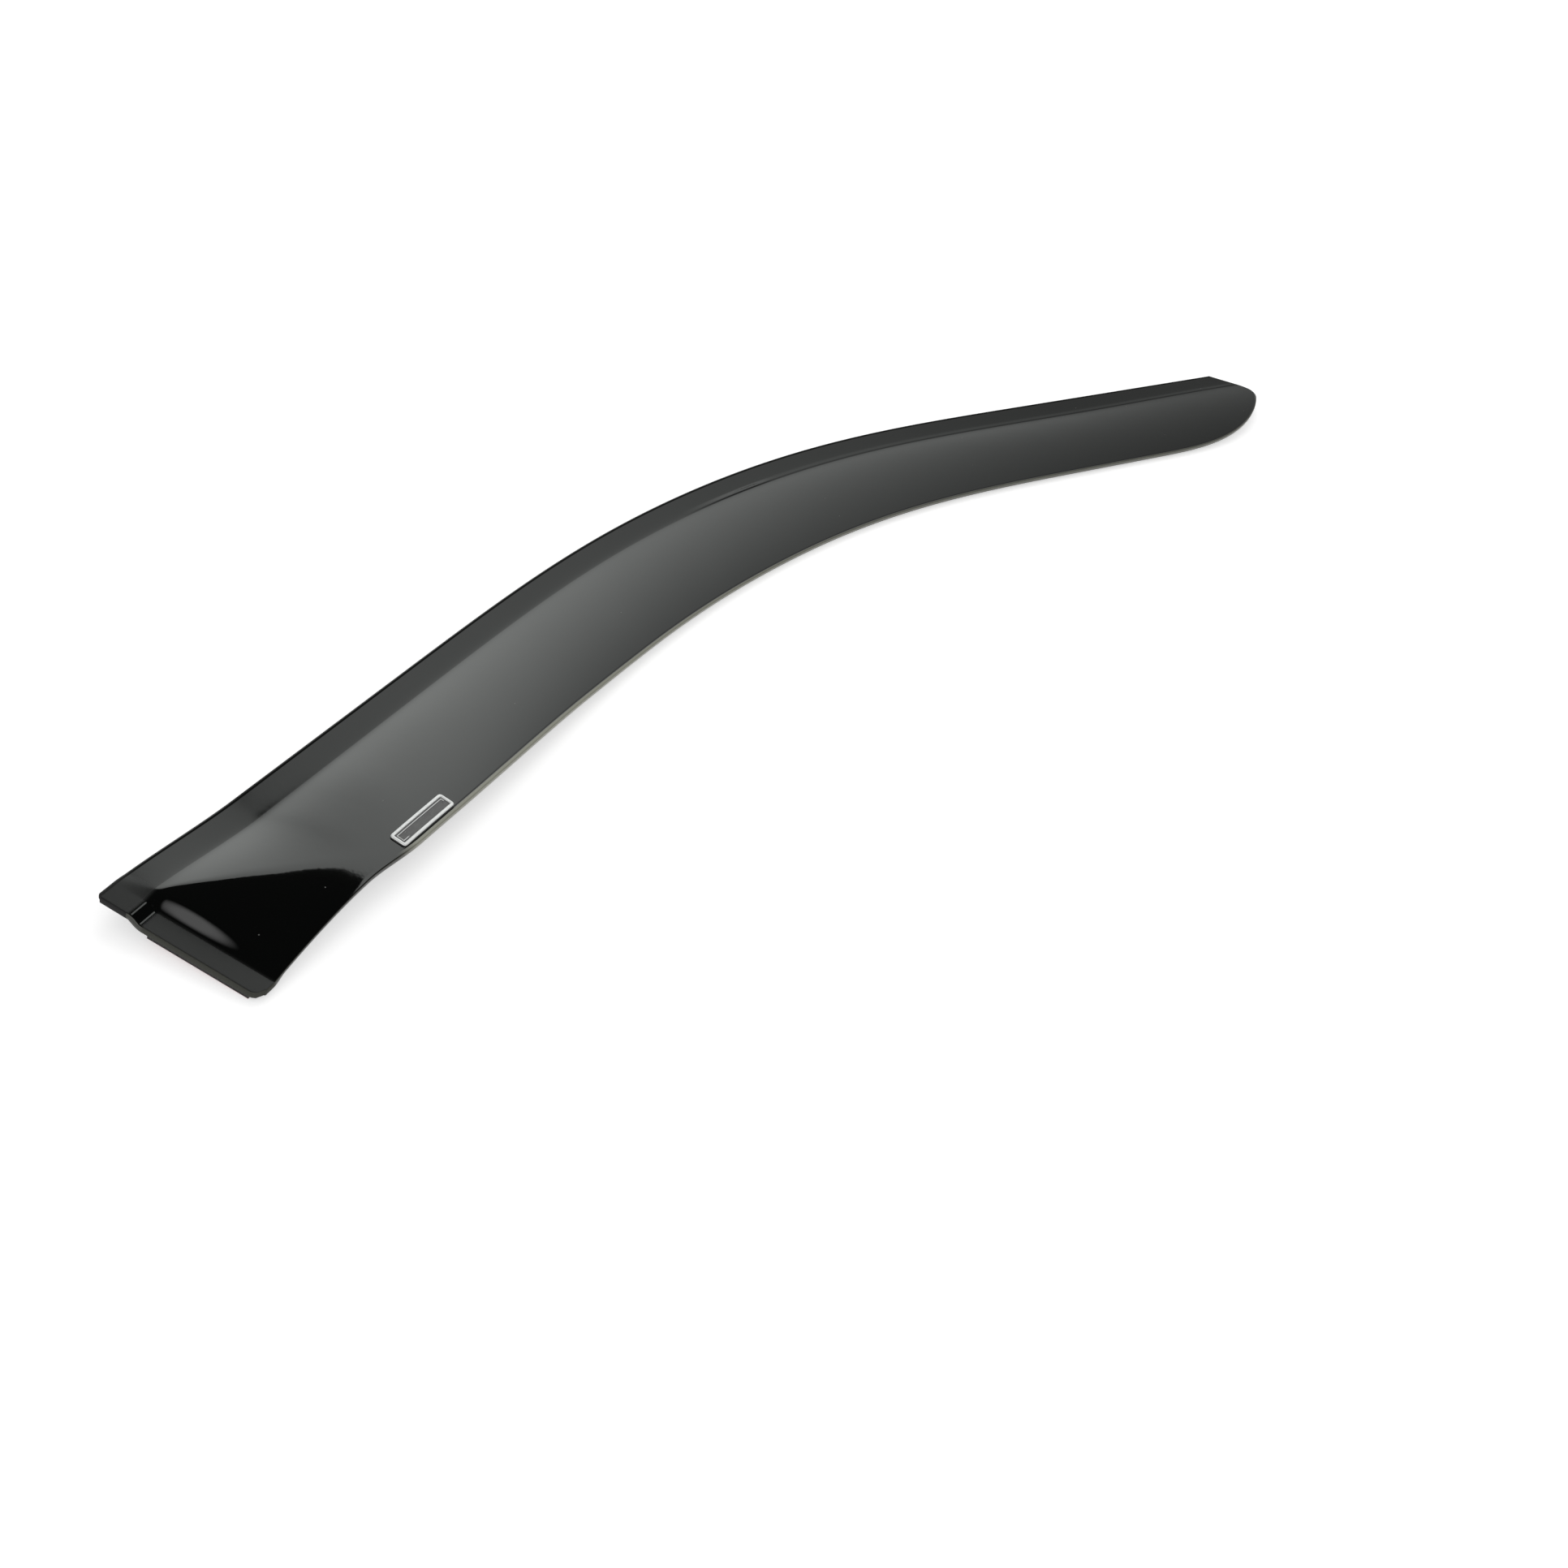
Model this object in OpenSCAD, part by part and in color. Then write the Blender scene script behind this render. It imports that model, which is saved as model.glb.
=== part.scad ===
// Stick-on window rain deflector: one moulded sheet of dark tinted acrylic with a
// bonding flange, an arched blade and a stepped end, its foam tapes and a nameplate.
// It lies as on a table: outer face up, X from the stepped end to the tip,
// Y towards the flange, Z up. Millimetres.

/* [Frame line] */
// Length of the flange's outer edge
edge_length = 904; // [880:1:930]
// Heading of that edge at the stepped end, in degrees
start_heading = 16.2; // [14:0.1:18]
// Turn of the slight bend near the stepped end, in degrees
first_turn = -2.1; // [-4:0.1:0]
// Turn of the long middle bend, in degrees
middle_turn = -16.9; // [-20:0.1:-12]
// Turn of the bend towards the tip, in degrees
far_turn = -11.3; // [-15:0.1:-8]

/* [Sheet] */
// Thickness of the acrylic sheet
sheet = 3.2; // [2.5:0.1:4]
// How far the rounded rim bulges past the sheet's edge lines
rim_bulge = 0.8; // [0.5:0.1:1.4]

/* [Flange] */
// Width of the flange in plan at the stepped end
flange_near = 12.2; // [10:0.1:14]
// Width of the flange in plan along the far half
flange_far = 15.6; // [13:0.1:18]
// Drop from the flange's outer edge down to the crease, along the middle
flange_drop = 4.5; // [3:0.1:6]
// Height that the flange's outer edge gains at the stepped end
end_lift = 6.4; // [5:0.1:7.5]
// Length over which the flange climbs to the stepped end
lift_length = 80; // [60:1:110]

/* [Blade] */
// Distance from the outer edge to the blade's lower edge, in plan, at the stepped end
width_end = 73; // [70:0.1:76]
// The same at the nameplate
width_plate = 75.5; // [72:0.1:78]
// The same along the middle
width_middle = 73.8; // [70:0.1:78]
// The same towards the tip
width_far = 72; // [66:0.1:76]
// Rise of the arch above the line from crease to lower edge
arch_rise = 6; // [5:0.1:9]
// Rise of the arch left at the tip
tip_rise = 5; // [4:0.1:7]
// Height of the lower edge above the crease at the badge
edge_lift = 10.2; // [6:0.1:12]

/* [Stepped end] */
// Length of the end flange along the part
end_flange = 9.5; // [8:0.5:12]
// Step down from the long flange to the end flange
joggle = 4; // [3:0.1:5]
// Slope of the end flange down towards the lower edge, in degrees
end_slope = 5; // [3:0.1:6]
// Length of the wall that rises from the end flange to the blade
wall_length = 7; // [6:0.1:10]
// Share of the blade's height that the wall takes at its tall end
wall_share = 0.42; // [0.3:0.01:0.5]
// Where the dip towards the end flange runs out at the lower edge
dip_reach = 93; // [80:1:110]
// Radius in plan of the stepped end's corner at the flange
flange_corner = 2.5; // [1.5:0.1:4]
// Radius in plan of its corner at the lower edge
lower_corner = 4.5; // [3:0.1:6]

/* [Tip] */
// Distance that the slanted cut gains along the flange per millimetre of its width
tip_slant = 1.15; // [0.8:0.05:1.3]
// Where the lower edge starts to sweep up to the tip
sweep_start = 775; // [750:1:800]
// How far the sweep has come in from the lower edge at the tip
sweep_depth = 42; // [36:0.5:46]
// Radius of the tip's rounded corner
tip_corner = 6; // [3:0.5:8]

/* [Tape] */
// Thickness of the foam tape
tape = 1.1; // [0.8:0.1:1.2]
// Thickness of the release film on it
film = 0.15; // [0.1:0.01:0.2]

/* [Nameplate] */
// Length of the nameplate
plate_length = 35; // [30:1:40]
// Width of the nameplate in plan
plate_width = 8; // [7:0.5:9]
// Height of its rim above the blade
plate_rim = 1; // [0.8:0.1:1.4]
// Height of its sunk field above the blade
plate_field = 0.6; // [0.4:0.1:0.8]
// Distance of its middle along the outer edge
plate_at = 112; // [108:0.5:120]
// Distance of its middle from the outer edge in plan
plate_out = 69.8; // [66:0.1:70]

/* [Hidden] */

smoke = [0.12, 0.125, 0.12];
foam = [0.16, 0.16, 0.17];
film_red = [0.72, 0.1, 0.1];
silver = [0.78, 0.79, 0.78];

function ease(t) = let (c = min(1, max(0, t))) c * c * (3 - 2 * c);
function bend(t) = let (c = min(1, max(0, t))) c - sin(360 * c) / (2 * PI);

// The outer edge in plan: a straight start, then three smooth bends, each with
// its middle, its length and its turn.
bends = [[60, 80, first_turn], [390, 440, middle_turn], [568, 332, far_turn]];
function turned(s, b) = b[2] * bend((s - b[0]) / b[1] + 0.5);
function heading(s) = start_heading + turned(s, bends[0]) + turned(s, bends[1]) + turned(s, bends[2]);
run = 5;
runs = 200;
line = [for (i = 0, p = [0, 0]; i <= runs;
        p = p + run * [cos(heading((i + 0.5) * run)), sin(heading((i + 0.5) * run))], i = i + 1) p];
function on_line(s) = let (c = max(0, s), i = floor(c / run), t = s / run - i)
    line[i] * (1 - t) + line[i + 1] * t;
function in_plan(s, w) = on_line(s) + w * [sin(heading(s)), -cos(heading(s))];

// Stretches over which a width or a height changes: where each starts and its length.
flange_grows = [100, 500];
plate_swell = [70, 34];
plate_waist = [130, 110];
far_taper = [350, 320];
edge_drops = [95, 200];
edge_settles = [150, 300];
arch_fades = [650, 260];
crease_climbs = [750, 150];
function past(s, stretch) = ease((s - stretch[0]) / stretch[1]);

// Widths in plan, from the outer edge.
function flange_width(s) = flange_near + (flange_far - flange_near) * past(s, flange_grows);
function blade_width(s) = width_end + (width_plate - width_end) * past(s, plate_swell)
    + (width_middle - width_plate) * past(s, plate_waist) + (width_far - width_middle) * past(s, far_taper);

// Heights of the outer face, over the crease's lowest stretch.
edge_middle = 5;
edge_far = 1.4;
crease_dip = 0.5;
crease_far = 1.3;
function climb(s) = 1 - ease(s / lift_length);
function outer_z(s) = flange_drop + end_lift * climb(s);
function crease_z(s) = (flange_drop + end_lift - crease_dip) * climb(s)
    + crease_far * past(s, crease_climbs);
function lower_z(s) = edge_far + (edge_middle - edge_far) * (1 - past(s, edge_settles))
    + (edge_lift - edge_middle) * (1 - past(s, edge_drops));
function rise(s) = arch_rise + (tip_rise - arch_rise) * past(s, arch_fades);

// Cross-section: a straight flange and an arch, joined in a small rounded valley.
valley = 1.2;
function soft_max(a, b) = (a + b + sqrt((a - b) * (a - b) + valley * valley)) / 2;
function body_z(s, w) =
    let (fw = flange_width(s), v = (w - fw) / (blade_width(s) - fw))
    soft_max(outer_z(s) + (crease_z(s) - outer_z(s)) * w / fw,
        crease_z(s) + (lower_z(s) - crease_z(s)) * v + rise(s) * 4 * v * (1 - v));

// Stepped end: the long flange, a step down, then the end flange. From it a wall
// and a long dip build up to the full cross-section.
step_start = 12.5;
step_width = 7.5;
flange_tilt = 0.03;
wall_fade = 53;
wall_power = 0.7;
dip_start = 8;
dip_width = 61;
function past_step(w) = max(0, w - step_start - step_width);
function end_z(w) = flange_drop + end_lift - flange_tilt * w
    - joggle * ease((w - step_start) / step_width) - (tan(end_slope) - flange_tilt) * past_step(w);
function wall_part(w) = wall_share * pow(max(0, 1 - past_step(w) / wall_fade), wall_power);
function dip_end(w) = end_flange + dip_start
    + (dip_reach - end_flange - dip_start) * max(0, w - step_start) / dip_width;
function build_up(s, w) = let (u = min(1, max(0, (s - end_flange) / (dip_end(w) - end_flange))))
    wall_part(w) * ease((s - end_flange) / wall_length) + (1 - wall_part(w)) * u * (2 - u);
function face_z(s, w) = end_z(w) + (body_z(s, w) - end_z(w)) * build_up(s, w);
function face(s, w) = let (p = in_plan(s, w)) [p[0], p[1], face_z(s, w)];
function unit(v) = v / norm(v);
reach = 0.05;
function face_normal(s, w) = unit(cross(face(s, w - reach) - face(s, w + reach),
    face(s - reach, w) - face(s + reach, w)));

// Outline: the stepped end's corners, the slanted cut at the tip and the sweep.
sweep_power = 3.2;
slant_grows = [700, 204];
slant_round = 3;
corner_fade = 12;
function corner_cut(d, r) = d >= r ? 0 : r - sqrt(max(0, r * r - (r - d) * (r - d)));
function lower_w(b) = blade_width(b) - corner_cut(edge_length - b, tip_corner)
    - sweep_depth * pow(max(0, (b - sweep_start) / (edge_length - sweep_start)), sweep_power);
function soft_min(a, b) = (a + b - sqrt((a - b) * (a - b) + slant_round * slant_round)) / 2;
function slant(b, w) = tip_slant * past(b, slant_grows)
    * (soft_min(w, flange_far) - soft_min(0, flange_far));

// Stations along the part, close where the form changes, and columns across it.
stations = [for (i = [0:17]) rim_bulge + 1.1 * i,
    for (i = [1:14]) 19.5 + 0.42 * i * i,
    for (s = [118:17:747]) s,
    for (i = [14:-1:0]) edge_length - 0.75 * i * i];
flange_columns = [0, 0.06, 0.3, 0.55, 0.8, 0.93];
blade_steps = 16;
blade_columns = [for (k = [0:blade_steps]) pow(k / blade_steps, 1.35)];
rows = len(stations);
cols = len(flange_columns) + len(blade_columns);
most_flange = 0.7;
function column_w(b, j) = let (n = len(flange_columns), fw = min(flange_width(b), lower_w(b) * most_flange))
    j < n ? rim_bulge + flange_columns[j] * (fw - rim_bulge)
        : fw + blade_columns[j - n] * (lower_w(b) - fw);
function corners(b, w) =
    corner_cut(w - rim_bulge, flange_corner) + corner_cut(lower_w(b) - w, lower_corner);
function station_s(b, w) = b + slant(b, w) + corners(b, w) * (1 - ease(b / corner_fade));
spots = [for (b = stations) [for (j = [0:cols - 1]) let (w = column_w(b, j)) [station_s(b, w), w]]];
outer_grid = [for (r = spots) [for (q = r) face(q[0], q[1])]];
normals = [for (r = spots) [for (q = r) face_normal(q[0], q[1])]];
function offset_grid(depth) =
    [for (i = [0:rows - 1]) [for (j = [0:cols - 1]) outer_grid[i][j] - depth * normals[i][j]]];
inner_grid = offset_grid(sheet);

// Place the part: centred over its box, with its lowest point at Z 0.
every_point = [for (r = outer_grid) for (p = r) p];
low_point = min([for (r = inner_grid) for (p = r) p[2]]);
centre = [for (k = [0, 1]) (max([for (p = every_point) p[k]]) + min([for (p = every_point) p[k]])) / 2];
module placed() { translate([-centre[0], -centre[1], -low_point]) children(); }

// Closed patch between two grids of points, with triangles throughout. Its wall
// bulges by the given amount, as a half-round rim of three facets.
module slab(upper, lower, bulge = 0) {
    n = len(upper);
    m = len(upper[0]);
    loop = concat([for (i = [0:n - 1]) [i, 0]], [for (j = [1:m - 1]) [n - 1, j]],
        [for (i = [n - 2:-1:0]) [i, m - 1]], [for (j = [m - 2:-1:1]) [0, j]]);
    k = len(loop);
    rings = bulge > 0 ? [0.25, 0.75] : [];
    wall = [for (t = rings) for (q = [0:k - 1])
        let (a = upper[loop[q][0]][loop[q][1]], b = lower[loop[q][0]][loop[q][1]],
             before = loop[(q + k - 1) % k], after = loop[(q + 1) % k],
             along = upper[after[0]][after[1]] - upper[before[0]][before[1]])
        a * (1 - t) + b * t + bulge * unit(cross(a - b, along))];
    points = concat([for (r = upper) for (p = r) p], [for (r = lower) for (p = r) p], wall);
    top_loop = [for (q = loop) q[0] * m + q[1]];
    under_loop = [for (q = top_loop) n * m + q];
    levels = concat([top_loop],
        [for (t = [0:1:len(rings) - 1]) [for (q = [0:k - 1]) 2 * n * m + t * k + q]], [under_loop]);
    faces = concat(
        [for (i = [0:n - 2]) for (j = [0:m - 2]) let (a = i * m + j)
            each [[a, a + m + 1, a + 1], [a, a + m, a + m + 1]]],
        [for (i = [0:n - 2]) for (j = [0:m - 2]) let (a = n * m + i * m + j)
            each [[a, a + 1, a + m + 1], [a, a + m + 1, a + m]]],
        [for (t = [0:len(levels) - 2]) for (q = [0:k - 1])
            let (r = (q + 1) % k, a = levels[t], b = levels[t + 1])
            each [[a[q], b[r], a[r]], [a[q], b[q], b[r]]]]);
    polyhedron(points, faces, convexity = 8);
}

module visor() {
    color(smoke) placed() slab(outer_grid, inner_grid, rim_bulge);
}

// Strip of the inner face under the flange, pushed off it. It stops short of both ends.
strip_rows = [18:rows - 9];
strip_columns = [1:3];
function strip(depth) =
    [for (i = strip_rows) [for (j = strip_columns) outer_grid[i][j] - (sheet + depth) * normals[i][j]]];

module flange_tape() {
    color(foam) placed() slab(strip(0), strip(tape));
}

module flange_film() {
    color(film_red) placed() slab(strip(tape), strip(tape + film));
}

// Flat pad under the end flange, in that flange's own plane.
pad_start = 23;
pad_length = 46;
pad_width = 7;
module end_pad(depth, thick) {
    across = pad_start + pad_length / 2;
    middle = face(end_flange / 2, across) - (sheet + depth) * face_normal(end_flange / 2, across);
    placed() translate(middle) rotate([0, 0, start_heading]) rotate([end_slope, 0, 0])
        translate([-pad_width / 2, -pad_length / 2, -thick]) cube([pad_width, pad_length, thick]);
}

module end_tape() {
    color(foam) end_pad(0, tape);
}

module end_film() {
    color(film_red) end_pad(tape, film);
}

// Nameplate bent to the blade, with a raised rim round a sunk field.
rim_width = 1.1;
rim_chamfer = 0.3;
edge_steps = [0, 0.4, 0.9, rim_width + 0.1];
function both_ways(steps, size) =
    concat([for (d = steps) d - size / 2], [for (i = [len(steps) - 1:-1:0]) size / 2 - steps[i]]);
plate_xs = both_ways(concat(edge_steps, [for (x = [4:4:16]) x]), plate_length);
plate_ys = both_ways(concat(edge_steps, [2.6]), plate_width);
function plate_top(x, y) = let (d = min(plate_length / 2 - abs(x), plate_width / 2 - abs(y)))
    d <= 0 ? plate_rim - rim_chamfer : d < rim_width ? plate_rim : plate_field;
function plate_spot(x, y, h) = let (s = plate_at + x, w = plate_out + y) face(s, w) + h * face_normal(s, w);
module badge() {
    color(silver) placed() slab(
        [for (x = plate_xs) [for (y = plate_ys) plate_spot(x, y, plate_top(x, y))]],
        [for (x = plate_xs) [for (y = plate_ys) plate_spot(x, y, 0)]]);
}

visor();
flange_tape();
flange_film();
end_tape();
end_film();
badge();
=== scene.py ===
import math
import bpy
from mathutils import Matrix, Vector


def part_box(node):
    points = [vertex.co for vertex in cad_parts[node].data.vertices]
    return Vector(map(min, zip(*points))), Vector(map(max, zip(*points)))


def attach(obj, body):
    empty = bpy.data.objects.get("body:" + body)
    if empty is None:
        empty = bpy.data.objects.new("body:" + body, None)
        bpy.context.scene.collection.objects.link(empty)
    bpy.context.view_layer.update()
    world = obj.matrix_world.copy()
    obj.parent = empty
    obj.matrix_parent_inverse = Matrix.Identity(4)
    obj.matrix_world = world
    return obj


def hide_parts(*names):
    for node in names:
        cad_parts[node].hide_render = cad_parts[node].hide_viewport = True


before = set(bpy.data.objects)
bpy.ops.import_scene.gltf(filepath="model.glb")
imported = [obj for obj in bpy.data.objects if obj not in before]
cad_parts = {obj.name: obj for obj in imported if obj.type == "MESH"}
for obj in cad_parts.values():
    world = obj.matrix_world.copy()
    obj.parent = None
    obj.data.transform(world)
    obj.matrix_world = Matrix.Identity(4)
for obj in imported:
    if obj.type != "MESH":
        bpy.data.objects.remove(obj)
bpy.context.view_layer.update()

# Visor: one sheet of smoke acrylic, moulded over a former and taped to the window frame.
# Its edge line, flange, arched blade, stepped end and swept tip follow rules like the
# solid's, in millimetres, and a node tree lofts them finely and closes the rounded rim.
edge_length = 904
start_heading = 16.2
bends = ((60, 80, -2.1), (390, 440, -16.9), (568, 332, -11.3))  # middle, length, degrees
sheet, rim_bulge = 3.2, 0.8
flange_near, flange_far, flange_drop = 13.8, 15.6, 4.5
end_lift, lift_length = 6.4, 80
width_end, width_plate, width_middle, width_far = 73, 75.5, 73.8, 72
arch_rise, tip_rise = 6, 5
crease_drop, crease_lift, tip_crease_lift = 0.5, 2, 1.3
edge_far, edge_middle, edge_end = 1.4, 5, 10.2
valley = 1.2
end_flange, end_fall, end_slope = 9.5, 0.1, 5
joggle, step_start, step_width = 3.2, 14.5, 6
wall_length, wall_share, wall_fade, wall_power = 7, 0.42, 53, 0.7
dip_lead, dip_reach, dip_run = 8, 93, 61
flange_corner, lower_corner, corner_reach = 1.2, 4, 12
tip_slant, slant_start, slant_blend = 1.15, 700, 3
sweep_start, sweep_depth, sweep_power, tip_corner = 775, 42, 3.2, 6


class Field:
    """A number that the tree being built works out, written as plain arithmetic."""
    tree = None

    def __init__(self, socket):
        self.socket = socket

    def __add__(self, other):
        return calc("ADD", self, other)

    def __sub__(self, other):
        return calc("SUBTRACT", self, other)

    def __mul__(self, other):
        return calc("MULTIPLY", self, other)

    def __truediv__(self, other):
        return calc("DIVIDE", self, other)

    def __radd__(self, other):
        return calc("ADD", other, self)

    def __rsub__(self, other):
        return calc("SUBTRACT", other, self)

    def __rmul__(self, other):
        return calc("MULTIPLY", other, self)

    def __neg__(self):
        return calc("MULTIPLY", self, -1)


def add_node(kind, *values, **settings):
    """Adds a node with these settings, feeds its enabled inputs in order and returns it."""
    node = Field.tree.nodes.new(kind)
    for name, value in settings.items():
        setattr(node, name, value)
    for socket, value in zip([s for s in node.inputs if s.enabled], values):
        if isinstance(value, Field):
            Field.tree.links.new(value.socket, socket)
        elif value is not None:
            socket.default_value = value
    return node


def out(node, which=0):
    return Field(node.outputs[which])


def calc(operation, *values):
    return out(add_node("ShaderNodeMath", *values, operation=operation))


def vector(operation, *values):
    return out(add_node("ShaderNodeVectorMath", *values, operation=operation))


def ease(t):
    return out(add_node("ShaderNodeMapRange", t, 0, 1, 0, 1, interpolation_type="SMOOTHSTEP"))


def ramp_in(value, low, high):
    return ease((value - low) / (high - low))


def clamp(t):
    return out(add_node("ShaderNodeClamp", t, 0, 1))


def blend(a, b, t):
    return a + (b - a) * t


def bend(t):
    c = clamp(t)
    return c - calc("SINE", c * (2 * math.pi)) / (2 * math.pi)


def heading(s):
    """The outer edge's heading at s, in radians."""
    turns = [turn * bend((s - middle) / length + 0.5) for middle, length, turn in bends]
    return (start_heading + turns[0] + turns[1] + turns[2]) * (math.pi / 180)


def flange_width(s):
    return blend(flange_near, flange_far, ease((s - 100) / 500))


def blade_width(s):
    return (width_end + (width_plate - width_end) * ease((s - 70) / 34)
            + (width_middle - width_plate) * ease((s - 130) / 110)
            + (width_far - width_middle) * ease((s - 350) / 320))


def body_z(s, w):
    """Height of the flange and the arched blade, joined in a small rounded valley."""
    climb = 1 - ease(s / lift_length)
    outer = flange_drop + end_lift * climb
    crease = ((flange_drop + end_lift - crease_drop) * climb + crease_lift * (1 - climb)
              + tip_crease_lift * ease((s - 750) / 150))
    lower = (edge_far + (edge_middle - edge_far) * (1 - ease((s - 150) / 300))
             + (edge_end - edge_middle) * (1 - ease((s - 95) / 200)))
    rise = arch_rise - crease_lift / 2 + (tip_rise - arch_rise) * ease((s - 650) / 260)
    fw = flange_width(s)
    v = (w - fw) / (blade_width(s) - fw)
    flange = outer + (crease - outer) * w / fw
    arch = crease + (lower - crease) * v + rise * 4 * v * (1 - v)
    gap = flange - arch
    return (flange + arch + calc("SQRT", gap * gap + valley * valley)) * 0.5


def face_z(s, w):
    """Height of the outer face, with the stepped end's joggle, flange, wall and dip."""
    past_step = calc("MAXIMUM", 0, w - (step_start + step_width))
    end_z = (flange_drop + end_lift - end_fall * calc("MINIMUM", w, step_start)
             - joggle * ease((w - step_start) / step_width)
             - math.tan(math.radians(end_slope)) * past_step)
    share = wall_share * calc("POWER", calc("MAXIMUM", 0, 1 - past_step / wall_fade), wall_power)
    dip_start = end_flange + dip_lead
    dip_end = dip_start + (dip_reach - dip_start) * calc("MAXIMUM", 0, w - step_start) / dip_run
    u = clamp((s - end_flange) / (dip_end - end_flange))
    build_up = share * ease((s - end_flange) / wall_length) + (1 - share) * u * (2 - u)
    return end_z + (body_z(s, w) - end_z) * build_up


def new_tree(name, inputs, outputs):
    """A geometry node tree with named sockets; returns it with its input node's sockets by name."""
    tree = Field.tree = bpy.data.node_groups.new(name, "GeometryNodeTree")
    for label, kind, value in inputs:
        item = tree.interface.new_socket(label, in_out="INPUT", socket_type=kind)
        if value is not None:
            item.default_value = value
    for label, kind in outputs:
        tree.interface.new_socket(label, in_out="OUTPUT", socket_type=kind)
    entry = tree.nodes.new("NodeGroupInput")
    return tree, {s.name: Field(s) for s in entry.outputs if s.name}


def finish_tree(*values):
    add_node("NodeGroupOutput", *values)


# Edge line: steps of one millimetre along the heading, added up point by point.
step, points = 1, 1000
edge_tree, given = new_tree("edge_line", [], [("Edge", "NodeSocketGeometry")])
base = out(add_node("GeometryNodeCurvePrimitiveLine"))
base = out(add_node("GeometryNodeResampleCurve", base, True, points))
here = (out(add_node("GeometryNodeInputIndex")) + 0.5) * step
go = heading(here)
move = out(add_node("ShaderNodeCombineXYZ", calc("COSINE", go) * step, calc("SINE", go) * step, 0))
total = add_node("GeometryNodeAccumulateField", move, data_type="FLOAT_VECTOR")
edge = out(add_node("GeometryNodeSetPosition", base, True, out(total, 1)))
finish_tree(edge)

# Point on the outer face, at s along the edge line and w across from it.
face_tree, given = new_tree(
    "face_point",
    [("Edge", "NodeSocketGeometry", None), ("Along", "NodeSocketFloat", 0.0),
     ("Across", "NodeSocketFloat", 0.0)],
    [("Point", "NodeSocketVector")])
s, w = given["Along"], given["Across"]
on_edge = out(add_node("GeometryNodeSampleCurve", given["Edge"], None, s, mode="LENGTH"), 1)
aim = heading(s)
side = out(add_node("ShaderNodeCombineXYZ", w * calc("SINE", aim), -(w * calc("COSINE", aim)),
                    face_z(s, w)))
finish_tree(vector("ADD", on_edge, side))

# How the sheet is divided: closer rows at both ends and closer columns at the crease.
rows, columns, flange_columns, rim_steps = 470, 76, 16, 5
end_spacing, flange_crowding, blade_crowding = 0.93, 1.4, 1.35
rim_fullness = 0.667  # 1 makes the rim an ellipse, less makes it squarer
reach = 0.2  # how far away the points lie that give a direction on the face
merge_gap = 0.004


def corner_cut(d, r):
    """How far a corner of radius r stands back, at d from its side."""
    lack = calc("MAXIMUM", 0, r - d)
    return r - calc("SQRT", calc("MAXIMUM", 0, r * r - lack * lack))


def lower_w(b):
    """Where the lower edge lies across from b, with the tip's sweep and corner."""
    swept = calc("MAXIMUM", 0, (b - sweep_start) / (edge_length - sweep_start))
    return (blade_width(b) - corner_cut(edge_length - b, tip_corner)
            - sweep_depth * calc("POWER", swept, sweep_power))


def soft_min(a, b, k):
    return (a + b - calc("SQRT", (a - b) * (a - b) + k * k)) * 0.5


def face_at(edge, s, w):
    return out(add_node("GeometryNodeGroup", edge, s, w, node_tree=face_tree))


def frame_at(edge, s, w):
    """The point at s and w, with the unit directions along, across and out of the face."""
    ahead, behind = face_at(edge, s + reach, w), face_at(edge, s - reach, w)
    further, nearer = face_at(edge, s, w + reach), face_at(edge, s, w - reach)
    along = vector("NORMALIZE", vector("SUBTRACT", ahead, behind))
    across = vector("NORMALIZE", vector("SUBTRACT", further, nearer))
    up = vector("NORMALIZE", vector("CROSS_PRODUCT", across, along))
    return face_at(edge, s, w), along, across, up


def scaled(direction, amount):
    node = add_node("ShaderNodeVectorMath", direction, operation="SCALE")
    if isinstance(amount, Field):
        Field.tree.links.new(amount.socket, node.inputs["Scale"])
    else:
        node.inputs["Scale"].default_value = amount
    return out(node)


def store(geometry, name, value):
    return out(add_node("GeometryNodeStoreNamedAttribute", geometry, True, name, value))


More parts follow.
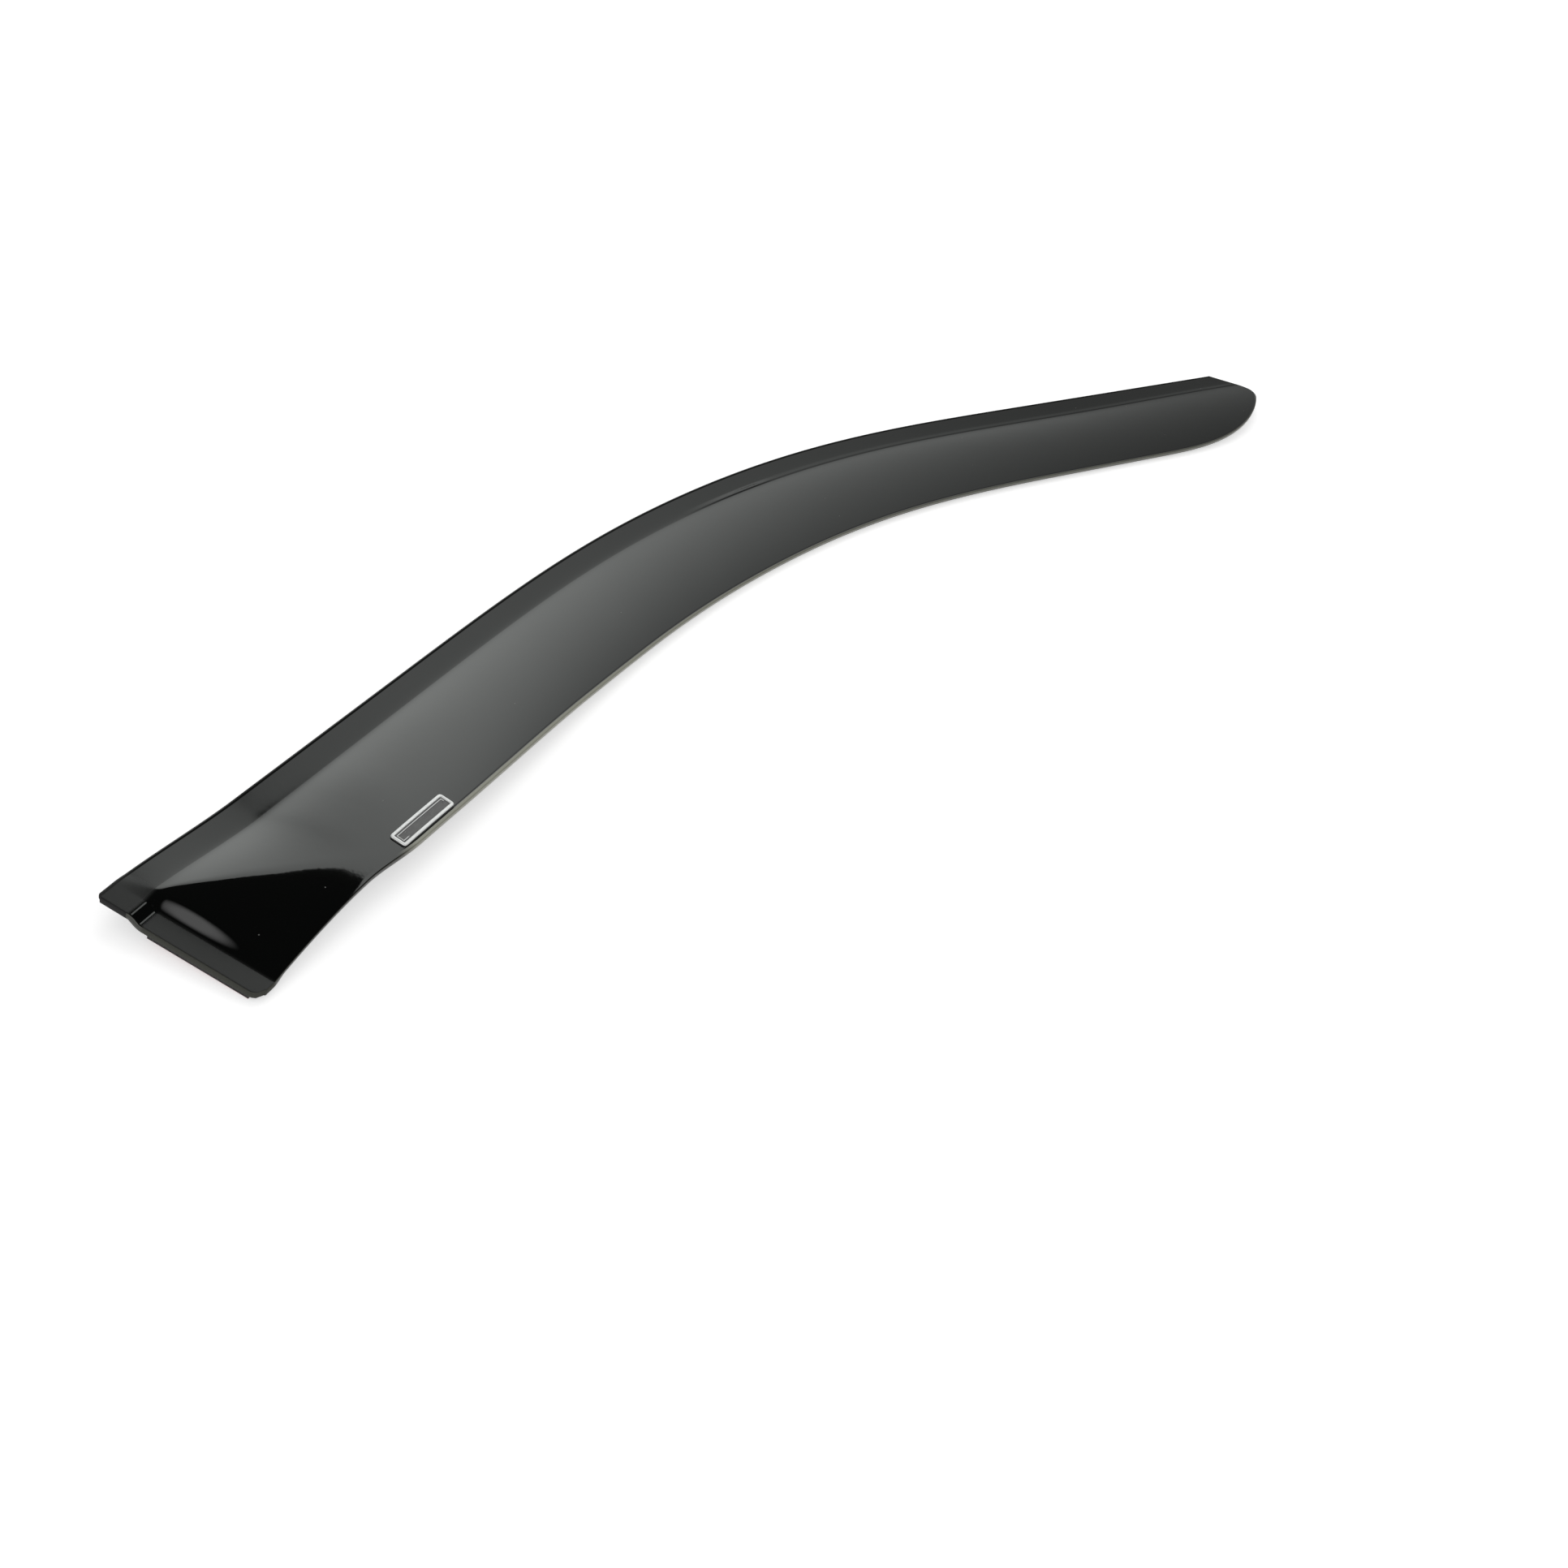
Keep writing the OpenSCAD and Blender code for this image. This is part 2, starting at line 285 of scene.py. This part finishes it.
def sheet_side(edge, thickness, bulge, outer):
    """Half of the closed sheet: one face with the half of the rim that belongs to it."""
    wide, deep = rows + 2 * rim_steps, columns + 2 * rim_steps
    grid = out(add_node("GeometryNodeMeshGrid", wide - 1, deep - 1, wide, deep))
    spot = add_node("ShaderNodeSeparateXYZ", out(add_node("GeometryNodeInputPosition")))
    i = out(spot, 0) + (rows - 1) / 2
    j = out(spot, 1) + (columns - 1) / 2
    t = clamp(i / (rows - 1))
    spread = t - end_spacing * calc("SINE", t * (2 * math.pi)) / (2 * math.pi)
    b = rim_bulge + (edge_length - rim_bulge) * spread
    low = lower_w(b)
    crease_w = flange_width(b)
    on_flange = 1 - calc("POWER", 1 - clamp(j / flange_columns), flange_crowding)
    blade_columns = columns - 1 - flange_columns
    on_blade = calc("POWER", clamp((j - flange_columns) / blade_columns), blade_crowding)
    w = rim_bulge + (crease_w - rim_bulge) * on_flange + (low - crease_w) * on_blade
    slanted = soft_min(w, flange_far, slant_blend) - soft_min(0, flange_far, slant_blend)
    corners = corner_cut(w - rim_bulge, flange_corner) + corner_cut(low - w, lower_corner)
    s = (b + tip_slant * ease((b - slant_start) / (edge_length - slant_start)) * slanted
         + corners * (1 - ease(b / corner_reach)))
    point, along, across, up = frame_at(edge, s, w)
    past_i = calc("MAXIMUM", 0, i - (rows - 1)) - calc("MAXIMUM", 0, -i)
    past_j = calc("MAXIMUM", 0, j - (columns - 1)) - calc("MAXIMUM", 0, -j)
    away = vector("NORMALIZE", vector("ADD", scaled(along, past_i), scaled(across, past_j)))
    over = calc("MAXIMUM", calc("ABSOLUTE", past_i), calc("ABSOLUTE", past_j)) / rim_steps
    turn = clamp(over) * (math.pi / 2)
    out_by = bulge * calc("POWER", calc("MAXIMUM", 0, calc("SINE", turn)), rim_fullness)
    level = calc("POWER", calc("MAXIMUM", 0, calc("COSINE", turn)), rim_fullness)
    depth = thickness * 0.5 * (1 - level if outer else 1 + level)
    place = vector("SUBTRACT", vector("ADD", point, scaled(away, out_by)), scaled(up, depth))
    step_end = step_start + step_width
    on_end_flange = 1 - ramp_in(s, end_flange - 1, end_flange + 1)
    near_end = 1 - ramp_in(s, end_flange - 2, end_flange + 14)
    kept = {"rim": clamp(over), "along": s, "across": w,
            "to_edge": low - w, "past_crease": w - crease_w,
            "satin": ramp_in(w, step_end - 1, step_end + 1) * on_end_flange,
            # A lighter, rougher patch on the flange at the stepped end: a painted sheen for its
            # brighter reflection.
            "step_sheen": (1 - ramp_in(w, step_start - 1, step_start + 1)) * near_end,
            "flange": 1 - ramp_in(w - crease_w, -0.4, 0.4)}
    for name, value in kept.items():
        grid = store(grid, name, value)
    return out(add_node("GeometryNodeSetPosition", grid, True, place))


visor_tree, given = new_tree(
    "visor_sheet",
    [("Sheet", "NodeSocketFloat", sheet), ("Rim bulge", "NodeSocketFloat", rim_bulge),
     ("Blade skin", "NodeSocketMaterial", None), ("Flange skin", "NodeSocketMaterial", None)],
    [("Visor", "NodeSocketGeometry")])
edge = out(add_node("GeometryNodeGroup", node_tree=edge_tree))
upper = sheet_side(edge, given["Sheet"], given["Rim bulge"], True)
lower = sheet_side(edge, given["Sheet"], given["Rim bulge"], False)
joined = add_node("GeometryNodeJoinGeometry")
Field.tree.links.new(lower.socket, joined.inputs[0])
Field.tree.links.new(out(add_node("GeometryNodeFlipFaces", upper)).socket, joined.inputs[0])
closed = out(add_node("GeometryNodeMergeByDistance", out(joined), True, merge_gap))
smooth = out(add_node("GeometryNodeSetShadeSmooth", closed, True, True))
real = out(add_node("GeometryNodeRealizeInstances", smooth))
coated = out(add_node("GeometryNodeSetMaterial", real, True, given["Blade skin"]))
on_flange = calc("GREATER_THAN", out(add_node("GeometryNodeInputNamedAttribute", "flange")), 0.5)
finish_tree(out(add_node("GeometryNodeSetMaterial", coated, on_flange, given["Flange skin"])))


def grown(name, tree, mesh=None, **values):
    """Runs a geometry tree and returns its result as a plain object, in metres."""
    host = bpy.data.objects.new(name, mesh or bpy.data.meshes.new(name))
    bpy.context.scene.collection.objects.link(host)
    modifier = host.modifiers.new(name, "NODES")
    modifier.node_group = tree
    for item in tree.interface.items_tree:
        if item.in_out == "INPUT" and item.name in values:
            modifier[item.identifier] = values[item.name]
    graph = bpy.context.evaluated_depsgraph_get()
    result = bpy.data.meshes.new_from_object(host.evaluated_get(graph),
                                             preserve_all_data_layers=True, depsgraph=graph)
    host.modifiers.clear()
    host.data = result
    result.name = name
    result.transform(Matrix.Scale(0.001, 4))
    return host


def material(name):
    """A new material and its shader. The next nodes go into its tree."""
    made = bpy.data.materials.new(name)
    made.use_nodes = True
    Field.tree = made.node_tree
    return made, made.node_tree.nodes["Principled BSDF"]


def feed(socket, value):
    if isinstance(value, Field):
        Field.tree.links.new(value.socket, socket)
    else:
        socket.default_value = value


def shader_group(name, inputs, outputs):
    """A shader node group with named sockets, and its inputs by name."""
    tree = Field.tree = bpy.data.node_groups.new(name, "ShaderNodeTree")
    for label, value in inputs:
        item = tree.interface.new_socket(label, in_out="INPUT", socket_type="NodeSocketFloat")
        item.default_value = value
    for label in outputs:
        tree.interface.new_socket(label, in_out="OUTPUT", socket_type="NodeSocketFloat")
    entry = tree.nodes.new("NodeGroupInput")
    return tree, {s.name: Field(s) for s in entry.outputs if s.name}


def object_spot():
    return out(add_node("ShaderNodeTexCoord"), 3)


def noise(scale, detail=2.0):
    """Noise in Object coordinates, scale in patches per metre."""
    return out(add_node("ShaderNodeTexNoise", object_spot(), scale, detail, 0.5))


def ramp(value, low, high, to_low=0.0, to_high=1.0):
    return out(add_node("ShaderNodeMapRange", value, low, high, to_low, to_high,
                        interpolation_type="SMOOTHSTEP"))


def tint(amount, first, second):
    colours = [c if isinstance(c, Field) else (*c, 1) for c in (first, second)]
    return out(add_node("ShaderNodeMix", amount, *colours, data_type="RGBA"), 2)


def named(attribute):
    return out(add_node("ShaderNodeAttribute", attribute_name=attribute), 2)


def bumped(shader, height, distance):
    feed(shader.inputs["Normal"], out(add_node("ShaderNodeBump", 1.0, distance, None, height)))


# Dust: a few pale specks, each well under a millimetre.
dust_tree, given = shader_group(
    "dust", [("Cells per metre", 260.0), ("Speck size", 0.12), ("Share", 0.1)], ["Speck"])
cell = add_node("ShaderNodeTexVoronoi", object_spot(), given["Cells per metre"])
lot = out(add_node("ShaderNodeSeparateColor", out(cell, 1)))
chosen = calc("LESS_THAN", lot, given["Share"])
speck = (1 - ramp(out(cell, 0) / given["Speck size"], 0.5, 1.0)) * chosen
finish_tree(speck)

# Moulding waves: the slight, wide unevenness of a skin that was pressed on a former.
wave_tree, given = shader_group(
    "moulding_waves", [("Waves per metre", 22.0), ("Grain", 0.2)], ["Height"])
wide = noise(given["Waves per metre"], 1.0)
fine = noise(given["Waves per metre"] * 9, 2.0)
finish_tree(wide + fine * given["Grain"])


# Tones of the acrylic, dark to light, and of what lies on it.
smoke_dark, smoke_light = (0.0016, 0.0019, 0.0017), (0.0026, 0.0029, 0.0027)
# step_sheen_tone lightens the flange at the stepped end: a painted sheen.
satin_tone, step_sheen_tone = (0.018, 0.0188, 0.018), (0.03, 0.031, 0.03)
# edge_highlight_tone is a painted highlight: the pale colour of the lit lower edge face.
edge_highlight_tone, dust_tone = (0.27, 0.27, 0.215), (0.12, 0.12, 0.115)
acrylic_index = 1.49

# The pale strip on the sawn lower edge, a painted highlight of the lit edge face, and the lines
# that are pressed in or raised.
strip_wide, strip_narrow, strip_blur = 0.85, 0.1, 0.12
groove_in, groove_width = 0.35, 0.2
groove_relief, fold_relief, lip_relief, line_depth = 0.5, 2.1, 2.6, 0.0004


def acrylic_skin(name, smooth, specular, edge_tone):
    """Smoke acrylic that is almost black, with slight haze, dust, a painted highlight as a paler
    lower edge, and a painted sheen at the stepped end.
    """
    made, shader = material(name)
    dust = out(add_node("ShaderNodeGroup", 240.0, 0.09, 0.035, node_tree=dust_tree))
    waves = out(add_node("ShaderNodeGroup", 18.0, 0.04, node_tree=wave_tree))
    rim, satin, step_sheen, along, across = map(named, ("rim", "satin", "step_sheen", "along", "across"))
    to_edge, past_crease = named("to_edge"), named("past_crease")

    # The sawn lower edge is painted as a pale strip, a painted highlight of its lit edge face, that
    # narrows along the blade, under a fine line.
    strip = ramp(along, 180, 560, strip_wide, strip_narrow)
    strip_starts = ramp(along, 88, 102)
    strip_fades = ramp(along, 200, 620, 1.0, 0.35)
    edge_highlight = ramp(to_edge - strip, strip_blur, -strip_blur) * strip_starts * strip_fades
    from_groove = (to_edge - strip - groove_in) / groove_width
    groove = calc("EXPONENT", -(from_groove * from_groove)) * strip_starts

    # A fold beside the crease where the blade bends most, and a lip along the outer edge.
    fold_strength = ramp(along, 412, 470) * ramp(along, 478, 500, 1.0, 0.3)
    fold = ramp(past_crease, -4.2, -1.5) * ramp(past_crease, -0.3, -1.5) * fold_strength
    lip = ramp(across, 1.9, 0.8)

    haze = noise(9, 4.0)
    # The flange at the stepped end is painted lighter, a painted sheen.
    body = tint(step_sheen, tint(haze, smoke_dark, smoke_light), step_sheen_tone)
    body = tint(ramp(rim, 0.05, 0.35), tint(satin, body, satin_tone), edge_tone)
    feed(shader.inputs["Base Color"], tint(dust, tint(edge_highlight, body, edge_highlight_tone), dust_tone))
    gloss = (smooth + ramp(haze, 0.35, 0.75, 0.0, 0.02) + satin * 0.4 + step_sheen * 0.25
             + ramp(rim, 0.12, 0.5) * 0.3 + dust * 0.4)
    feed(shader.inputs["Roughness"], gloss)
    shader.inputs["IOR"].default_value = acrylic_index
    shader.inputs["Specular IOR Level"].default_value = specular
    height = waves - groove * groove_relief + fold * fold_relief + lip * lip_relief
    bumped(shader, height, line_depth)
    return made


skins = {"Blade skin": acrylic_skin("smoke_acrylic", 0.035, 0.5, (0.02, 0.021, 0.014)),
         "Flange skin": acrylic_skin("matt_flange", 0.12, 0.27, (0.002, 0.002, 0.002))}
visor = grown("visor_sheet", visor_tree, **skins)

# The grown sheet is laid on the solid: ends and sides to its box, the top level with its top.
solid_box = [Vector(corner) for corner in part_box("visor")]
grown_box = [Vector([pick(v.co[k] for v in visor.data.vertices) for k in range(3)])
             for pick in (min, max)]
room = [(solid_box[1][k] - solid_box[0][k]) / (grown_box[1][k] - grown_box[0][k])
        for k in range(2)]
onto_frame = (Matrix.Translation(solid_box[1]) @ Matrix.Diagonal((*room, 1, 1))
              @ Matrix.Translation(-grown_box[1]))
visor.data.transform(onto_frame)
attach(visor, "root")
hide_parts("visor")

# Nameplate: a thin pressed plate with a rounded silver rim and an inner line round a
# sunk, bare field. It is bent to the blade, close to the lower edge, and stuck on.
plate_length, plate_width, plate_corner = 35, 8, 1.5
plate_at, plate_out = 112, 69.8
plate_field, line_outer, line_inner, line_gap = 0.6, 2.1, 2.5, 3
# Each ring's inset from the plate's outline, its height, and how far it is sunk, 0 to 1.
plate_rings = [(0, -0.05, 0), (0, 0.55, 0), (0.05, 0.8, 0), (0.15, 0.93, 0), (0.32, 1, 0),
               (1.2, 1, 0), (1.34, 0.93, 0), (1.42, 0.78, 0.3), (1.47, 0.6, 1), (2.1, 0.6, 1),
               (2.15, 0.72, 0.3), (2.22, 0.82, 0), (2.4, 0.82, 0), (2.47, 0.72, 0.3),
               (2.52, 0.6, 1), (3.1, 0.6, 1), (3.9, 0.6, 1)]
long_parts, short_parts, corner_parts = 24, 4, 8


def plate_ring(inset, height):
    """Points round a rounded rectangle, from the middle of its left end.

    The inner line is raised only along one side and at the left end."""
    half_x, half_y = plate_length / 2 - inset, plate_width / 2 - inset
    radius = max(0.3 * (half_y / 4), min(plate_corner - inset * 0.75, half_y * 0.8))
    quarter = [(-half_x, (half_y - radius) * k / short_parts) for k in range(short_parts)]
    quarter += [(-half_x + radius * (1 - math.cos(a)), half_y - radius * (1 - math.sin(a)))
                for a in (math.pi / 2 * k / corner_parts for k in range(corner_parts))]
    side = [((half_x - radius) * (2 * k / long_parts - 1), half_y) for k in range(long_parts // 2)]
    left = quarter + side
    top = left + [(0, half_y)] + [(-x, y) for x, y in reversed(left)]
    ring = top + [(x, -y) for x, y in reversed(top[1:-1])]
    line = line_outer < inset < line_inner
    return [(x, y, plate_field if line and y <= 0 and x >= line_gap - half_x else height)
            for x, y in ring]


plate_points, sunk = [], []
for inset, height, depth in plate_rings:
    ring = plate_ring(inset, height)
    plate_points += ring
    sunk += [1 if z <= plate_field else depth for x, y, z in ring]
count = len(ring)
last = (len(plate_rings) - 1) * count
plate_faces = [(start + after, start + k, start + k + count, start + after + count)
               for start in range(0, last, count)
               for k, after in ((k, (k + 1) % count) for k in range(count))]
for k in range(count // 2):
    ladder = [k, k + 1, (count - k - 1) % count, (count - k) % count]
    ladder = [n for place, n in enumerate(ladder) if n not in ladder[:place]]
    plate_faces += [[last + n for n in reversed(ladder)], ladder]
blank = bpy.data.meshes.new("nameplate")
blank.from_pydata(plate_points, [], plate_faces)
blank.attributes.new("sunk", "FLOAT", "POINT").data.foreach_set("value", sunk)

lay_tree, given = new_tree(
    "lay_on_blade",
    [("Plate", "NodeSocketGeometry", None), ("Along", "NodeSocketFloat", plate_at),
     ("Across", "NodeSocketFloat", plate_out), ("Material", "NodeSocketMaterial", None)],
    [("Plate", "NodeSocketGeometry")])
edge = out(add_node("GeometryNodeGroup", node_tree=edge_tree))
flat = add_node("ShaderNodeSeparateXYZ", out(add_node("GeometryNodeInputPosition")))
s, w = given["Along"] + out(flat, 0), given["Across"] - out(flat, 1)
point, along, across, up = frame_at(edge, s, w)
place = vector("ADD", point, scaled(up, out(flat, 2)))
laid = out(add_node("GeometryNodeSetPosition", given["Plate"], True, place))
laid = out(add_node("GeometryNodeSetShadeSmooth", laid, True, True))
laid = out(add_node("GeometryNodeRealizeInstances", laid))
finish_tree(out(add_node("GeometryNodeSetMaterial", laid, True, given["Material"])))

# Silver lacquer with slight wear, and a grained dark grey in the sunk field.
silver_worn, silver_bright = (0.8, 0.815, 0.805), (0.9, 0.91, 0.9)
field_dark, field_light, plate_dust = (0.1, 0.1, 0.1), (0.17, 0.17, 0.168), (0.5, 0.5, 0.48)
silver, shader = material("silver_plate")
sunk_mask = named("sunk")
grain = noise(2600, 2.0)
wear = noise(700, 3.0)
dust = out(add_node("ShaderNodeGroup", 700.0, 0.16, 0.05, node_tree=dust_tree))
bright = tint(wear, silver_worn, silver_bright)
field_grey = tint(grain, field_dark, field_light)
feed(shader.inputs["Base Color"], tint(dust, tint(sunk_mask, bright, field_grey), plate_dust))
feed(shader.inputs["Roughness"], ramp(wear, 0.3, 0.7, 0.3, 0.42) + sunk_mask * 0.15)
shader.inputs["Metallic"].default_value = 0.25
bumped(shader, grain * (0.4 + sunk_mask), 0.00006)

badge = grown("nameplate", lay_tree, blank, Material=silver)
badge.data.transform(onto_frame)
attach(badge, "root")
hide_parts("badge")

# Foam tapes: dark closed-cell foam, die-cut into a long strip and a short pad. They are
# stuck under the flange and under the end flange, and hold the sheet to the frame.
foam_dark, foam_light = (0.012, 0.012, 0.013), (0.035, 0.035, 0.037)
foam, shader = material("foam_tape")
cells = out(add_node("ShaderNodeTexVoronoi", object_spot(), 1400.0))
patches = noise(60, 3.0)
feed(shader.inputs["Base Color"], tint(ramp(cells, 0.1, 0.7), foam_dark, foam_light))
feed(shader.inputs["Roughness"], ramp(patches, 0.3, 0.7, 0.82, 0.95))
bumped(shader, cells + patches, 0.0003)


def dress(names, finish):
    """Gives solids that stay as they are their finish."""
    for name in names:
        slots = bpy.data.objects[name].data.materials
        slots.clear()
        slots.append(finish)


dress(("flange_tape", "end_tape"), foam)

# Release films: thin red plastic film, cut with the tapes and left on their lower faces
# until the part is fitted.
red_dark, red_light = (0.16, 0.006, 0.006), (0.22, 0.01, 0.009)
film, shader = material("release_film")
creases = out(add_node("ShaderNodeGroup", 60.0, 0.5, node_tree=wave_tree))
dye = noise(35, 3.0)
feed(shader.inputs["Base Color"], tint(dye, red_dark, red_light))
feed(shader.inputs["Roughness"], ramp(dye, 0.3, 0.7, 0.24, 0.36))
bumped(shader, creases, 0.0006)
dress(("flange_film", "end_film"), film)

# Studio: a plain white floor that keeps the part's faint shadow, in a pale room with a
# dark ceiling, and one big upright soft box beyond the part. The box is seen only in
# the gloss. Its cut outline bounds the black zone on the blade.
scene = bpy.context.scene
scene.view_settings.view_transform = "Standard"
floor_half, paper_glow = 6, 0.55
box_x, glow_tone = 0.6, (0.965, 1, 0.975, 1)
box_outline = [(-1.4, 0.01), (-1.4, 0.5), (-0.42, 0.8), (-0.2, 1.68), (0.42, 1.6), (3.4, 0.78),
               (3.4, 0.01)]


def card(name, corners, finish):
    """A flat stage piece from its corners, counterclockwise seen from its front."""
    mesh = bpy.data.meshes.new(name)
    mesh.from_pydata(corners, [], [range(len(corners))])
    mesh.materials.append(finish)
    made = bpy.data.objects.new(name, mesh)
    scene.collection.objects.link(made)
    return made


paper, shader = material("white_paper")
shader.inputs["Base Color"].default_value = (0.8, 0.8, 0.8, 1)
shader.inputs["Roughness"].default_value = 0.9
shader.inputs["Emission Color"].default_value = (1, 1, 1, 1)
path = add_node("ShaderNodeLightPath")
seen = calc("MAXIMUM", out(path, 0), calc("MAXIMUM", out(path, 3), out(path, 6)))
feed(shader.inputs["Emission Strength"], seen * paper_glow)
card("floor", [(x * floor_half, y * floor_half, 0)
               for x, y in ((-1, -1), (1, -1), (1, 1), (-1, 1))], paper)

# The cloth glows most in a slanting band, from high up in the middle to low at the far end.
cloth, shader = material("soft_box_cloth")
shader.inputs["Base Color"].default_value = (0.02, 0.02, 0.02, 1)
shader.inputs["Emission Color"].default_value = glow_tone
on_cloth = add_node("ShaderNodeSeparateXYZ", object_spot())
u, v = out(on_cloth, 1), out(on_cloth, 2)
power = u * 1.7 + v * 2.9 - u * u * 0.4 - v * v * 0.9 - u * v * 1.05 - 1.61
front = 1 - out(add_node("ShaderNodeNewGeometry"), 6)
feed(shader.inputs["Emission Strength"], calc("EXPONENT", power) * front)
soft_box = card("soft_box", [(box_x, u, v) for u, v in box_outline], cloth)
soft_box.visible_camera = False
soft_box.visible_diffuse = False
soft_box.visible_shadow = False

# The room: white low down, dark above, with one low light wall behind the camera.
ceiling_level, low_wall_level, room_level = 0.02, 1.8, 0.6
room_light = bpy.data.worlds.new("room")
scene.world = room_light
room_light.use_nodes = True
Field.tree = room_light.node_tree
way = add_node("ShaderNodeSeparateXYZ", out(add_node("ShaderNodeTexCoord"), 0))
height = out(way, 2)
beyond = out(way, 0) * 0.82 + out(way, 1) * 0.57
low_wall = ramp(beyond, -0.1, -0.4) * ramp(height, 0.8, 0.6) * low_wall_level
wall = ramp(height, 0.1, 0.4, 1.0, ceiling_level) + low_wall
path = add_node("ShaderNodeLightPath")
seen = calc("MAXIMUM", out(path, 0), out(path, 6))
level = blend(blend(room_level, wall, out(path, 3)), 1.0, seen)
background = Field.tree.nodes["Background"]
background.inputs["Color"].default_value = (1, 1, 1, 1)
feed(background.inputs["Strength"], level)

# A wide, weak lamp beyond the part gives the soft shadow on the near side.
fill_spot, fill_level = Vector((0.9, 1.0, 2.2)), 0.4
fill = bpy.data.lights.new("fill_light", "AREA")
fill.shape = "DISK"
fill.size = 1.6
slant = fill_spot.z / fill_spot.length
fill.energy = fill_level * math.pi * fill_spot.length_squared / slant * math.pi / 4
lamp = bpy.data.objects.new("fill_light", fill)
lamp.matrix_world = (Matrix.Translation(fill_spot)
                     @ fill_spot.to_track_quat("Z", "Y").to_matrix().to_4x4())
lamp.visible_camera = False
lamp.visible_glossy = False
scene.collection.objects.link(lamp)

# Camera at the photograph's angle.
frame_pixels, focal_pixels, sensor = 1932, 2200, 36
spot = Vector((-0.7165, -0.4483, 0.5135))
azimuth, pitch, roll = (math.radians(a) for a in (31.03, 38.43, -15.44))
right = Vector((math.sin(azimuth), -math.cos(azimuth), 0))
ahead = Vector((math.cos(pitch) * math.cos(azimuth), math.cos(pitch) * math.sin(azimuth),
                -math.sin(pitch)))
down = ahead.cross(right)
across_view = math.cos(roll) * right + math.sin(roll) * down
down_view = math.cos(roll) * down - math.sin(roll) * right
camera = bpy.data.objects.new("camera", bpy.data.cameras.new("camera"))
camera.data.sensor_width = sensor
camera.data.lens = sensor * focal_pixels / frame_pixels
turned = Matrix((across_view, -down_view, -ahead)).transposed().to_4x4()
camera.matrix_world = Matrix.Translation(spot) @ turned
scene.collection.objects.link(camera)
scene.camera = camera
